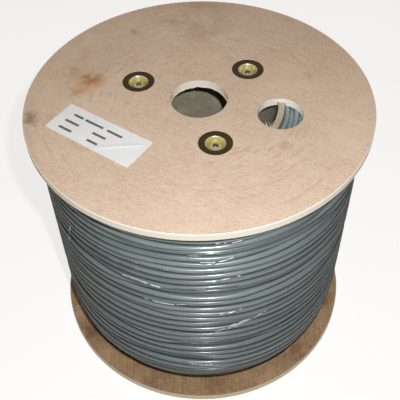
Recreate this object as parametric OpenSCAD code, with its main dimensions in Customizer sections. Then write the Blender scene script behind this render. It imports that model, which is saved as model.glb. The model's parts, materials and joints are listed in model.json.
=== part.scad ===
// Plywood cable drum standing on its end, full of grey data cable.
// Millimetres, +Z up, origin at the centre of the bottom face.

/* [Flanges] */
// Diameter of each plywood flange
flange_d = 340; // [325:1:400]
// Thickness of each flange
flange_t = 8; // [7:0.5:12]
// Clear distance between the two flanges
traverse = 282; // [200:1:340]
// Diameter of the spindle bore through both flanges
spindle_d = 56; // [40:1:64]
// Broken edge around each flange's rim
rim_arris = 0.6; // [0.2:0.1:1.5]

/* [Barrel] */
// Outer diameter of the grey-board barrel
barrel_d = 167; // [160:1:190]
// Thickness of the barrel's wall
barrel_wall = 6; // [4:0.5:8]
// Depth of the groove that each end of the barrel sits in
groove_depth = 3.5; // [2:0.1:4.5]
// Room beside the barrel's wall in its groove, on each side
groove_gap = 0.75; // [0.25:0.05:1.5]

/* [Start hole] */
// Diameter of the hole for the cable's inner end
start_hole_d = 44; // [30:1:50]
// How far the hole's centre lies inside the barrel's outer wall
start_hole_inset = 2.5; // [-4:0.5:8]
// Direction of the hole, from +X
start_hole_angle = -18; // [-30:1:0]

/* [Winding] */
// Diameter of the cable
cable_d = 5.4; // [4.5:0.1:6.5]
// Diameter over the turns at mid height
winding_d = 322; // [290:1:324]
// How much lower the turns at the bottom end lie than the middle ones
bottom_drop = 20; // [6:0.5:24]
// How much lower the turns at the top end lie than the middle ones
top_drop = 3; // [1:0.5:24]
// Spacing of the loose outer turns
turn_pitch = 8.2; // [6.8:0.1:9.4]

/* [Stretch film] */
// Thickness of the film with all its layers
film_t = 0.3; // [0.2:0.05:0.6]
// How far the film dips between two turns
film_dip = 0.8; // [0.2:0.1:1.2]

/* [Tie rods] */
// Diameter of each tie rod
rod_d = 6; // [5:0.5:6]
// How far the rod stands out of its nut
rod_end = 0.8; // [0.4:0.1:1.2]
// Direction of the first rod, from +X
rod_angle_1 = 41.1; // [35:0.1:47]
// Direction of the second rod, from +X
rod_angle_2 = 154.3; // [148:0.1:160]
// Direction of the third rod, from +X
rod_angle_3 = 282.7; // [277:0.1:289]
// How far the second rod was drilled further in than the first
rod_inset_2 = 0.3; // [0:0.1:4]
// How far the third rod was drilled further in than the first
rod_inset_3 = 2.8; // [0:0.1:4]

/* [Cup washers] */
// Diameter over the brim
washer_d = 32; // [28:0.5:36]
// Thickness of the pressed sheet
washer_t = 1; // [0.6:0.1:1.5]
// Radius of the bend from the brim into the cup
draw_r = 2; // [1.75:0.05:2.5]
// Inside diameter of the cup below the bend
cup_d = 17.4; // [16.6:0.1:19]
// How much narrower the cup is at its floor
cup_taper = 4.6; // [3:0.1:4.8]
// How far the brim is pulled in below the flange's face
brim_sink = 0.2; // [0.1:0.05:0.5]
// Wood left between a bolt hole and the barrel's groove
bolt_hole_land = 0.8; // [0.5:0.1:3]

/* [Nuts] */
// Width across the flats
nut_flats = 10; // [8:0.5:10]
// Height of the nut, a thin one
nut_h = 3.2; // [2.4:0.1:3.6]

/* [Paper label] */
// Length of the label
label_l = 99; // [70:1:110]
// Width of the label
label_w = 38; // [25:1:45]
// Thickness of the label
label_t = 0.2; // [0.1:0.05:0.4]
// How far the label's centre lies inside the flange's rim
label_inset = 64.3; // [58:0.1:72]
// Direction of the label's centre, from +X
label_place_angle = 206.9; // [200:0.1:215]
// How the label is turned
label_turn = -35.6; // [-45:0.1:-25]

/* [Hidden] */
$fn = 128;

// Overall levels
drum_h = traverse + 2 * flange_t;
inner_low = flange_t;
inner_high = flange_t + traverse;
rod_count = 3;

// Clearances and cut overlap
slip = 0.25;
thread_gap = 0.05;
film_gap = 0.15;
cut = 1;

// Barrel and groove
barrel_r = barrel_d / 2;
barrel_in_r = barrel_r - barrel_wall;
groove_in_r = barrel_in_r - groove_gap;
groove_out_r = barrel_r + groove_gap;

// Cup washers: as deep as the board is thick, in a hole that narrows with the cup
cup_r = cup_d / 2;
cup_depth = flange_t - washer_t;
cup_floor_r = cup_r - cup_taper / 2;
brim_seat = brim_sink + washer_t;
mouth_h = draw_r - washer_t;
hole_top_r = cup_r + washer_t + slip;
hole_low_r = cup_floor_r + washer_t + slip;
hole_cone_h = flange_t - brim_seat - mouth_h;
hole_at_groove_r = hole_low_r + (hole_top_r - hole_low_r) * groove_depth / hole_cone_h;

// Rods, set out inwards from the barrel's groove
rod_circle_r = groove_in_r - bolt_hole_land - hole_at_groove_r;
rod_angles = [rod_angle_1, rod_angle_2, rod_angle_3];
rod_insets = [0, rod_inset_2, rod_inset_3];
rod_low = cup_depth - nut_h - rod_end;
nut_turn = 12;
rod_chamfer = rod_d / 8;
label_corner = 2;

// Winding: a turned profile, scalloped by the turns of cable
cable_r = cable_d / 2;
winding_r = winding_d / 2;
winding_mid = (inner_low + inner_high) / 2;
winding_half = traverse / 2;
winding_gap = 0.2;
// Sides of the cable's section in the turned profile
cable_sides = 12;
bottom_power = 5.5;
top_power = 8;
turn_count = floor((traverse - cable_d - 2 * winding_gap) / turn_pitch) + 1;
turn_step = (traverse - cable_d - 2 * winding_gap) / (turn_count - 1);
layer_step = cable_d * sqrt(3) / 2;
// An under turn lies in the valley between two outer turns and touches both
under_drop = sqrt(pow(cable_d, 2) - pow(turn_step / 2, 2));
core_depth = cable_r + under_drop / 2 - slip;
ring_sink = cable_r;
end_depth = cable_r + ring_sink / 2 - slip;
bore_r = barrel_r + winding_gap;

// The winding falls off towards each end, more at the bottom one
function height_share(z) = (z - winding_mid) / winding_half;
function end_drop(z) = z < winding_mid ? bottom_drop : top_drop;
function end_power(z) = z < winding_mid ? bottom_power : top_power;
function crest_r(z) = winding_r - end_drop(z) * pow(abs(height_share(z)), end_power(z));
function crest_slope(z) = -end_drop(z) * end_power(z) / winding_half
    * pow(abs(height_share(z)), end_power(z) - 1) * sign(height_share(z));
function crest_normal(z) = [1, -crest_slope(z)] / norm([1, crest_slope(z)]);
// Point at a depth under the crest line, measured square to it
function under_crest(z, depth) = [crest_r(z), z] - depth * crest_normal(z);
function turn_z(i) = inner_low + winding_gap + cable_r + i * turn_step;
// Rings of the end layers, as far out as the end turns let them show
function end_ring_count(level) =
    floor((crest_r(winding_mid + level * winding_half) - cable_d - bore_r) / layer_step);
// Place of a rod's axis
function rod_place(i) = (rod_circle_r - rod_insets[i - 1]) * [cos(rod_angles[i - 1]), sin(rod_angles[i - 1])];

// Plywood disc with its outer face up at flange_t and its inner face at 0
module flange_disc() {
    difference() {
        rotate_extrude()
            polygon([[spindle_d / 2, 0], [flange_d / 2 - rim_arris, 0], [flange_d / 2, rim_arris],
                     [flange_d / 2, flange_t - rim_arris], [flange_d / 2 - rim_arris, flange_t],
                     [spindle_d / 2, flange_t]]);
        rotate_extrude()
            translate([groove_in_r, -cut])
                square([groove_out_r - groove_in_r, groove_depth + cut]);
        for (i = [1:rod_count])
            translate(rod_place(i)) rotate_extrude()
                // The hole narrows with the cup, and its mouth is eased to clear the washer's bend
                polygon([[0, -cut], [hole_low_r, -cut], [hole_low_r, 0], [hole_top_r, hole_cone_h],
                         [cup_r + draw_r, hole_cone_h + mouth_h],
                         [washer_d / 2 + slip, flange_t - brim_seat], [washer_d / 2 + slip, flange_t + cut],
                         [0, flange_t + cut]]);
    }
}

module flange_top() {
    color("#d8bfa2") translate([0, 0, inner_high]) difference() {
        flange_disc();
        rotate(start_hole_angle) translate([barrel_r - start_hole_inset, 0, -cut])
            cylinder(d = start_hole_d, h = flange_t + 2 * cut);
    }
}

module flange_bottom() {
    color("#b89a78") translate([0, 0, inner_low]) mirror([0, 0, 1]) flange_disc();
}

module barrel() {
    color("#8f8c7c") rotate_extrude()
        translate([barrel_in_r, inner_low - groove_depth])
            square([barrel_wall, traverse + 2 * groove_depth]);
}

module cable_section() { circle(r = cable_r, $fn = cable_sides); }

// Solid outline under the turns, from the barrel out to the valleys
module winding_core_profile() {
    first_r = under_crest(turn_z(0), core_depth)[0];
    last_r = under_crest(turn_z(turn_count - 1), core_depth)[0];
    low_z = inner_low + winding_gap + end_depth;
    high_z = inner_high - winding_gap - end_depth;
    polygon(concat(
        [[bore_r, low_z], [first_r, low_z]],
        [for (i = [0:turn_count - 1]) under_crest(turn_z(i), core_depth)],
        [[last_r, high_z], [bore_r, high_z]]));
}

module cable_winding() {
    color("#78868b") rotate_extrude() {
        winding_core_profile();
        for (i = [0:turn_count - 1])
            translate(under_crest(turn_z(i), cable_r)) cable_section();
        for (i = [0:turn_count - 2])
            translate(under_crest(turn_z(i) + turn_step / 2, cable_r + under_drop)) cable_section();
        // Layers seen on the two ends: every second one lies half a cable deeper
        for (level = [-1, 1], k = [0:end_ring_count(level)])
            translate([bore_r + cable_r + k * layer_step,
                       winding_mid + level * (winding_half - winding_gap - cable_r - (k % 2) * ring_sink)])
                cable_section();
    }
}

// Clear wrap drawn over the crests of the turns, dipping a little between them
module stretch_film() {
    last = 2 * (turn_count - 1);
    function lift(k) = film_gap - (k % 2) * film_dip;
    color("#c8d2d6", 0.35) rotate_extrude()
        polygon(concat(
            [for (k = [0:last]) under_crest(turn_z(k / 2), -lift(k))],
            [for (k = [last:-1:0]) under_crest(turn_z(k / 2), -lift(k) - film_t)]));
}

module paper_label() {
    color("#f1efec") translate([0, 0, drum_h])
        rotate(label_place_angle) translate([flange_d / 2 - label_inset, 0, 0])
            rotate(label_turn - label_place_angle)
                linear_extrude(label_t) {
                    square([label_l - 2 * label_corner, label_w], center = true);
                    square([label_l, label_w - 2 * label_corner], center = true);
                    for (sx = [-1, 1], sy = [-1, 1])
                        translate([sx * (label_l / 2 - label_corner), sy * (label_w / 2 - label_corner)])
                            circle(r = label_corner);
                }
}

// Stands a fastener on its rod's axis, in the top face or mirrored in the bottom one
module at_rod(i, top) {
    translate(rod_place(i))
        if (top) translate([0, 0, drum_h]) children();
        else mirror([0, 0, 1]) children();
}

module tie_rod(i) {
    color("#a9a9a4") translate(rod_place(i)) rotate_extrude()
        polygon([[0, rod_low], [rod_d / 2 - rod_chamfer, rod_low], [rod_d / 2, rod_low + rod_chamfer],
                 [rod_d / 2, drum_h - rod_low - rod_chamfer],
                 [rod_d / 2 - rod_chamfer, drum_h - rod_low], [0, drum_h - rod_low]]);
}

// Pressed cup with a flat brim, its mouth up, the flange's face at 0
module cup_washer() {
    bend_z = -brim_sink - draw_r;
    bend_r = cup_r + draw_r;
    hole_r = rod_d / 2 + slip;
    bend_steps = 8;
    rotate_extrude() polygon(concat(
        [[washer_d / 2, -brim_sink]],
        [for (k = [0:bend_steps])
            [bend_r, bend_z] + draw_r * [cos(90 + 90 * k / bend_steps), sin(90 + 90 * k / bend_steps)]],
        [[cup_floor_r, -cup_depth], [hole_r, -cup_depth], [hole_r, -cup_depth - washer_t],
         [cup_floor_r + washer_t, -cup_depth - washer_t]],
        [for (k = [bend_steps:-1:0])
            [bend_r, bend_z]
            + (draw_r - washer_t) * [cos(90 + 90 * k / bend_steps), sin(90 + 90 * k / bend_steps)]],
        [[washer_d / 2, -brim_seat]]));
}

module cup_washer_top(i) { color("#8c7a35") at_rod(i, true) cup_washer(); }
module cup_washer_bottom(i) { color("#8c7a35") at_rod(i, false) cup_washer(); }

// Hexagon nut with chamfered corners, seated on the cup's floor
module nut() {
    flat_r = nut_flats / 2;
    // The chamfer cones meet well outside the corners
    cone_r = flat_r + nut_h / 2 / tan(30);
    translate([0, 0, -cup_depth]) difference() {
        intersection() {
            rotate(nut_turn) cylinder(r = flat_r / cos(30), h = nut_h, $fn = 6);
            rotate_extrude()
                polygon([[0, 0], [flat_r, 0], [cone_r, nut_h / 2], [flat_r, nut_h], [0, nut_h]]);
        }
        translate([0, 0, -cut]) cylinder(r = rod_d / 2 + thread_gap, h = nut_h + 2 * cut);
    }
}

module nut_top(i) { color("#b9b7a8") at_rod(i, true) nut(); }
module nut_bottom(i) { color("#b9b7a8") at_rod(i, false) nut(); }

flange_top();
flange_bottom();
barrel();
cable_winding();
stretch_film();
paper_label();
for (i = [1:rod_count]) {
    tie_rod(i);
    cup_washer_top(i);
    cup_washer_bottom(i);
    nut_top(i);
    nut_bottom(i);
}
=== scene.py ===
# %% [markdown]
# # A plywood drum full of grey cable
#
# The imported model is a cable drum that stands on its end: two plywood flanges, a barrel of grey board
# between them, three tie rods with sunk cup washers and nuts, and a thick winding of cable under clear
# film. The boards and the hardware are turned and drilled shapes, so their CAD meshes stay and only get
# finishes. The turns of cable, the film and the label are soft goods, so this lesson models them again in
# Blender.

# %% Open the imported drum
import json
import math

import bmesh
import bpy
from mathutils import Matrix, Vector, noise


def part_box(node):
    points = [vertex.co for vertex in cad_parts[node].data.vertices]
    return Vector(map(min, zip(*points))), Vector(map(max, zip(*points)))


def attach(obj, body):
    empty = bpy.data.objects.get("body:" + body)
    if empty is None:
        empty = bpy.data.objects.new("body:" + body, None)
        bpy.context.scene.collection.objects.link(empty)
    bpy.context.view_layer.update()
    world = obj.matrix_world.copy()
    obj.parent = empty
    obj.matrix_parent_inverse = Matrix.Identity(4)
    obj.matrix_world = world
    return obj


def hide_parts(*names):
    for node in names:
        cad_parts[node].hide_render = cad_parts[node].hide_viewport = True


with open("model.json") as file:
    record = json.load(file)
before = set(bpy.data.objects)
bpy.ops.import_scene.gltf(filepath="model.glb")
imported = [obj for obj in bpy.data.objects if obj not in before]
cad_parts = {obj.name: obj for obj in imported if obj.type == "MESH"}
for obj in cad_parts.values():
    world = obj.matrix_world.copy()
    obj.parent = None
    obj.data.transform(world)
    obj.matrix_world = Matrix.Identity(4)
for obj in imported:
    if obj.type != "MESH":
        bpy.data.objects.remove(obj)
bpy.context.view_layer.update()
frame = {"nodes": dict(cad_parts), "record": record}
cad_nodes = frame["nodes"]
bpy.context.scene.view_settings.view_transform = "Standard"
print("CAD nodes:", len(cad_nodes))

# %% [markdown]
# ## The drum's own measures
#
# Every new piece has to meet the CAD solids, so its sizes are read from their boxes and not typed again.
# Only what a box can't tell is written as a number here, such as the thickness of the cable.

# %% Measure the CAD solids
WHOLE_TURN = 2 * math.pi
bottom_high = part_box("flange_bottom")[1]
top_low, top_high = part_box("flange_top")
barrel_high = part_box("barrel")[1]
winding_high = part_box("cable_winding")[1]
label_low, label_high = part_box("paper_label")

flange_r = top_high[0]
drum_h = top_high[2]
inner_low = bottom_high[2]
inner_high = top_low[2]
board_t = drum_h - inner_high
barrel_r = barrel_high[0]
barrel_top = barrel_high[2]
winding_r = winding_high[0]
print(f"flange radius {flange_r:.4f} m, height {drum_h:.4f} m, winding radius {winding_r:.4f} m")

# %% [markdown]
# ## Camera
#
# The photograph looks down on the drum from close by, which makes the top flange look much larger than
# the bottom one. A camera could be moved by eye until it looks right, but here both rims and all the
# bores were fitted with a plain pinhole camera, and these are the values that came out of the fit.

# %% Place the camera
PHOTO_SIZE = 400
FOCAL_LENGTH = 688.8
camera_lens = bpy.data.cameras.new("photo_camera")
camera_lens.sensor_fit = "HORIZONTAL"
camera_lens.sensor_width = 36.0
camera_lens.lens = FOCAL_LENGTH / PHOTO_SIZE * camera_lens.sensor_width
camera = bpy.data.objects.new("photo_camera", camera_lens)
bpy.context.scene.collection.objects.link(camera)

camera_spot = Vector((-0.0014, -0.5182, 0.7343))
look_down = math.radians(48.48)
camera_roll = math.radians(-1.44)
camera_turn = Matrix.Rotation(math.pi / 2 - look_down, 4, "X") @ Matrix.Rotation(camera_roll, 4, "Z")
camera.matrix_world = Matrix.Translation(camera_spot) @ camera_turn
bpy.context.scene.camera = camera
print(f"lens {camera_lens.lens:.1f} mm at {camera_spot.length:.3f} m from the origin")

# %% [markdown]
# ## Light
#
# The real picture was lit by a small lamp close to the lens, a little to the right and above, in a room
# with warm light. A small square lamp stands there, and a plain warm world fills the shadows. Together
# they give about the light at which a colour renders as it is written on the near side of the upper
# board. A wide, low lamp behind the drum lights its far side for other views. It stays lower than the
# upper face, so the near side doesn't change.

# %% Set up the lamps and the room
def hang_lamp(name, spot, aim, width, height, power):
    """Hangs a square or oblong lamp at a spot, turned towards a point."""
    lamp = bpy.data.lights.new(name, "AREA")
    lamp.shape = "RECTANGLE"
    lamp.size = width
    lamp.size_y = height
    lamp.energy = power
    holder = bpy.data.objects.new(name, lamp)
    bpy.context.scene.collection.objects.link(holder)
    turn = (aim - spot).to_track_quat("-Z", "Y").to_matrix().to_4x4()
    holder.matrix_world = Matrix.Translation(spot) @ turn
    return holder


LENS_LAMP_SIZE = 0.018
LENS_LAMP_POWER = 3.75
beside_lens = Vector((0.04, 0.045, 0.0))
lamp_spot = camera_spot + camera_turn.to_3x3() @ beside_lens
lamp_aim = Vector((0, 0, 0.2))
hang_lamp("lens_lamp", lamp_spot, lamp_aim, LENS_LAMP_SIZE, LENS_LAMP_SIZE, LENS_LAMP_POWER)

BACK_LAMP_W = 1.6
BACK_LAMP_H = 0.26
BACK_LAMP_POWER = 5.0
drum_mid = drum_h / 2
back_spot = Vector((0, 1.0, drum_mid))
back_aim = Vector((0, 0, drum_mid))
back_lamp = hang_lamp("back_lamp", back_spot, back_aim, BACK_LAMP_W, BACK_LAMP_H, BACK_LAMP_POWER)
back_lamp.visible_camera = False

ROOM_COLOUR = (1.0, 0.82, 0.54, 1.0)
ROOM_STRENGTH = 0.18
world = bpy.data.worlds.new("warm_room")
world.use_nodes = True
room = world.node_tree.nodes["Background"]
room.inputs["Color"].default_value = ROOM_COLOUR
room.inputs["Strength"].default_value = ROOM_STRENGTH
bpy.context.scene.world = world
print("lens lamp at", tuple(round(value, 3) for value in lamp_spot))

# %% [markdown]
# ## Helpers for finishes
#
# A material in Blender is a tree of nodes. Typing every node and link by hand hides what a finish is made
# of, so a few short helpers add a node, fill its inputs, and mix two colours by a mask. Colours are
# written as they look on a screen, from 0 to 255, and turned into the linear values of a shader.

# %% Write the node helpers
def screen_colour(red, green, blue):
    """Gives the linear colour of a screen colour written from 0 to 255."""
    linear = []
    for value in (red, green, blue):
        share = value / 255
        if share <= 0.04045:
            linear.append(share / 12.92)
        else:
            linear.append(((share + 0.055) / 1.055) ** 2.4)
    return (*linear, 1.0)


def fill_inputs(node, inputs):
    """Links a socket to each input that is given one, and types a value into the others."""
    for name, value in inputs.items():
        if isinstance(value, bpy.types.NodeSocket):
            node.id_data.links.new(value, node.inputs[name])
        else:
            node.inputs[name].default_value = value


def add_node(tree, kind, inputs=None, **settings):
    """Adds a shader node with its settings and inputs."""
    node = tree.nodes.new("ShaderNode" + kind)
    for name, value in settings.items():
        setattr(node, name, value)
    fill_inputs(node, inputs or {})
    return node


print("node helpers ready")

# %% Write the value helpers
def arithmetic(tree, operation, first, second=0.0):
    """Gives the result of a Math node."""
    return add_node(tree, "Math", {0: first, 1: second}, operation=operation).outputs[0]


def times(tree, first, second):
    """Multiplies two masks or values."""
    return arithmetic(tree, "MULTIPLY", first, second)


def vector_step(tree, operation, first, second):
    """Gives the result of a Vector Math node."""
    return add_node(tree, "VectorMath", {0: first, 1: second}, operation=operation).outputs["Vector"]


def parts_of(tree, vector):
    """Gives the X, Y and Z of a vector."""
    return add_node(tree, "SeparateXYZ", {"Vector": vector}).outputs


def distance_from(tree, value, middle):
    """Gives how far a value is from a middle, to either side."""
    return arithmetic(tree, "ABSOLUTE", arithmetic(tree, "SUBTRACT", value, middle))


print("value helpers ready")

# %% Write the mask and colour helpers
def ramp_between(tree, value, start, end):
    """Turns a value into a mask that runs from 0 at start to 1 at end."""
    inputs = {"Value": value, "From Min": start, "From Max": end}
    return add_node(tree, "MapRange", inputs, interpolation_type="SMOOTHSTEP").outputs["Result"]


def join_masks(tree, masks):
    """Gives the highest of several masks at each place."""
    joined = masks[0]
    for mask in masks[1:]:
        joined = arithmetic(tree, "MAXIMUM", joined, mask)
    return joined


def stretch_to(tree, mask, low, high):
    """Turns a mask into a value that runs from low where it is 0 to high where it is 1."""
    return add_node(tree, "MapRange", {"Value": mask, "To Min": low, "To Max": high}).outputs[0]


def noise_at(tree, vector, scale, detail):
    """Gives the value of a noise texture."""
    return add_node(tree, "TexNoise", {"Vector": vector, "Scale": scale, "Detail": detail}).outputs["Fac"]


def blend_colours(tree, mask, under, over):
    """Lays one colour over another where the mask is 1. Each is a socket or a screen colour."""
    under, over = [screen_colour(*side) if isinstance(side, tuple) else side for side in (under, over)]
    return add_node(tree, "Mix", {0: mask, 6: under, 7: over}, data_type="RGBA").outputs[2]


def tint(tree, under, mask, share, over):
    """Lays a colour over another by a share of a mask."""
    return blend_colours(tree, times(tree, mask, share), under, over)


print("mask and colour helpers ready")

# %% [markdown]
# ## Shared effects
#
# Wood, board, paper and plastic all vary from place to place in a few ways: long streaks, soft clouds,
# fine specks and single marks. Each of these is built once as a node group with named inputs and outputs,
# and every finish then places it with its own sizes. The groups put out masks only, and the shader stays
# in the material.

# %% Make a helper that starts a node group
ORIGIN = (0.0, 0.0, 0.0)


def start_group(name, inputs, outputs):
    """Makes an empty shader group that reads a place, and gives the sockets at its two ends."""
    group = bpy.data.node_groups.new(name, "ShaderNodeTree")
    for label, value in {"Vector": ORIGIN, **inputs}.items():
        kind = "NodeSocketVector" if isinstance(value, tuple) else "NodeSocketFloat"
        socket = group.interface.new_socket(label, in_out="INPUT", socket_type=kind)
        socket.default_value = value
    for label in outputs:
        group.interface.new_socket(label, in_out="OUTPUT", socket_type="NodeSocketFloat")
    entry = group.nodes.new("NodeGroupInput")
    leave = group.nodes.new("NodeGroupOutput")
    return group, entry.outputs, leave


def place_group(tree, group, vector, inputs):
    """Places a shared group in a material at some coordinates and gives its outputs."""
    node = tree.nodes.new("ShaderNodeGroup")
    node.node_tree = group
    fill_inputs(node, {"Vector": vector, **inputs})
    return node.outputs


print("group helpers ready")

# %% [markdown]
# Streaks are what sawn wood and wound board have in common. Noise is stretched by dividing the
# coordinates by a length along the fibre and a width across it, which is easier to judge than a texture
# scale.

# %% Build the streaks group
streak_sizes = {"Length": 0.02, "Width": 0.001}
streaks_group, ends, leave = start_group("fibre_streaks", streak_sizes, ["Streak", "Fleck"])
tree = streaks_group
stretch = add_node(tree, "CombineXYZ", {"X": ends["Length"], "Y": ends["Width"], "Z": ends["Width"]})
fibre_place = vector_step(tree, "DIVIDE", ends["Vector"], stretch.outputs[0])
long_noise = noise_at(tree, fibre_place, 1.0, 5.0)
fleck_place = vector_step(tree, "MULTIPLY", fibre_place, (4.0, 0.8, 0.8))
fleck_noise = noise_at(tree, fleck_place, 1.0, 2.0)
fill_inputs(leave, {
    "Streak": ramp_between(tree, long_noise, 0.34, 0.66),
    "Fleck": ramp_between(tree, fleck_noise, 0.60, 0.74),
})
print("made", streaks_group.name)

# %% [markdown]
# Clouds are slow changes of tone, and specks are the fine ones that keep a plain surface from looking
# like plastic. Both come from one group, because nearly every finish here needs the pair.

# %% Build the clouds group
cloud_sizes = {"Cloud size": 0.05, "Speck size": 0.001}
clouds_group, ends, leave = start_group("clouds_and_specks", cloud_sizes, ["Cloud", "Speck"])
tree = clouds_group
cloud_scale = arithmetic(tree, "DIVIDE", 1.0, ends["Cloud size"])
speck_scale = arithmetic(tree, "DIVIDE", 1.0, ends["Speck size"])
cloud_noise = noise_at(tree, ends["Vector"], cloud_scale, 4.0)
speck_noise = noise_at(tree, ends["Vector"], speck_scale, 1.0)
fill_inputs(leave, {
    "Cloud": ramp_between(tree, cloud_noise, 0.32, 0.68),
    "Speck": ramp_between(tree, speck_noise, 0.40, 0.68),
})


def place_clouds(tree, place, cloud_size, speck_size):
    """Places clouds and specks of given sizes on a piece."""
    sizes = {"Cloud size": cloud_size, "Speck size": speck_size}
    return place_group(tree, clouds_group, place["Object"], sizes)


print("made", clouds_group.name)

# %% [markdown]
# A stain or a smudge is one mark at one place. The group measures the distance to a centre and shifts the
# point by noise first, so that the mark gets a ragged outline and a blotchy inside.

# %% Build the mark group
mark_sizes = {"Centre": ORIGIN, "Radius": 0.01, "Ragged": 1.0}
mark_group, ends, leave = start_group("ragged_mark", mark_sizes, ["Mask"])
tree = mark_group
mark_scale = arithmetic(tree, "DIVIDE", 1.6, ends["Radius"])
mark_noise = add_node(tree, "TexNoise", {"Vector": ends["Vector"], "Scale": mark_scale, "Detail": 4.0})
mark_shift = vector_step(tree, "SUBTRACT", mark_noise.outputs["Color"], (0.5, 0.5, 0.5))
shift_size = times(tree, ends["Radius"], ends["Ragged"])
shift_scale = add_node(tree, "CombineXYZ", {"X": shift_size, "Y": shift_size, "Z": 0.0})
mark_shift = vector_step(tree, "MULTIPLY", mark_shift, shift_scale.outputs[0])
mark_place = vector_step(tree, "ADD", ends["Vector"], mark_shift)
mark_reach = add_node(tree, "VectorMath", {0: mark_place, 1: ends["Centre"]}, operation="DISTANCE")
mark_core = times(tree, ends["Radius"], 0.25)
mark_body = ramp_between(tree, mark_reach.outputs["Value"], ends["Radius"], mark_core)
mark_blotch = ramp_between(tree, mark_noise.outputs["Fac"], 0.30, 0.60)
fill_inputs(leave, {"Mask": times(tree, mark_body, mark_blotch)})
print("made", mark_group.name)

# %% [markdown]
# Drums are turned while they lie against each other, and that rubs faint arcs around the axis into both
# boards. The direction from the axis and the radius make the coordinates of this group, so the arcs have
# no seam.

# %% Build the rubbed arcs group
arc_sizes = {"Arc share": 5.0, "Spacing": 0.0012}
arcs_group, ends, leave = start_group("rubbed_arcs", arc_sizes, ["Arc"])
tree = arcs_group
flat_place = vector_step(tree, "MULTIPLY", ends["Vector"], (1.0, 1.0, 0.0))
axis_reach = add_node(tree, "VectorMath", {0: flat_place}, operation="LENGTH").outputs["Value"]
axis_way = add_node(tree, "VectorMath", {0: flat_place}, operation="NORMALIZE").outputs["Vector"]
arc_parts = parts_of(tree, axis_way)
arc_place = add_node(tree, "CombineXYZ", {
    "X": times(tree, arc_parts["X"], ends["Arc share"]),
    "Y": times(tree, arc_parts["Y"], ends["Arc share"]),
    "Z": arithmetic(tree, "DIVIDE", axis_reach, ends["Spacing"]),
})
arc_noise = noise_at(tree, arc_place.outputs[0], 1.0, 2.0)
patch_noise = noise_at(tree, ends["Vector"], 11.0, 1.0)
arc_lines = ramp_between(tree, arc_noise, 0.52, 0.70)
arc_patches = ramp_between(tree, patch_noise, 0.42, 0.62)
fill_inputs(leave, {"Arc": times(tree, arc_lines, arc_patches)})
print("made", arcs_group.name)

# %% [markdown]
# The sawn edge of plywood shows its plies as thin bands. The height within the board is cut into five,
# and every second ply shows end grain, with a thin glue line where two plies meet.

# %% Build the plies group
PLIES = 5.0
board_sizes = {"Low": 0.0, "Thickness": 0.008}
plies_group, ends, leave = start_group("edge_plies", board_sizes, ["Cross ply", "Glue line"])
tree = plies_group
ply_height = parts_of(tree, ends["Vector"])["Z"]
ply_height = arithmetic(tree, "SUBTRACT", ply_height, ends["Low"])
ply_share = arithmetic(tree, "DIVIDE", ply_height, ends["Thickness"])
ply_number = times(tree, ply_share, PLIES)
ply_wave = noise_at(tree, ends["Vector"], 55.0, 2.0)
ply_number = arithmetic(tree, "ADD", ply_number, times(tree, ply_wave, 0.3))
ply_swing = arithmetic(tree, "PINGPONG", ply_number, 1.0)
ply_near = arithmetic(tree, "PINGPONG", ply_number, 0.5)
fill_inputs(leave, {
    "Cross ply": ramp_between(tree, ply_swing, 0.42, 0.58),
    "Glue line": ramp_between(tree, ply_near, 0.44, 0.5),
})
print("made", plies_group.name)

# %% [markdown]
# ## Plywood
#
# The flanges are sawn from thin plywood. The face is a pinkish tan veneer with short flecks and rubbed
# arcs, and the sawn edges and the walls of the bores are pale cream. One face could be told from an edge
# by painting, but the direction of the surface already says it: where the normal points up or down it is
# a face.

# %% Write the finish helpers
def start_finish(name):
    """Makes a material with a Principled shader and gives its tree, the shader and the coordinates."""
    finish = bpy.data.materials.new(name)
    finish.use_nodes = True
    tree = finish.node_tree
    shader = tree.nodes["Principled BSDF"]
    place = tree.nodes.new("ShaderNodeTexCoord")
    return finish, tree, shader, place.outputs


def relief(tree, height, depth, strength):
    """Gives the normal of a surface that a height mask makes uneven by a depth in metres."""
    bump = add_node(tree, "Bump", {"Height": height, "Distance": depth, "Strength": strength})
    return bump.outputs["Normal"]


def turned_place(tree, vector, angle):
    """Gives the coordinates of a pattern that is turned around the axis."""
    return add_node(tree, "Mapping", {"Vector": vector, "Rotation": (0.0, 0.0, angle)}).outputs[0]


print("finish helpers ready")

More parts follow.
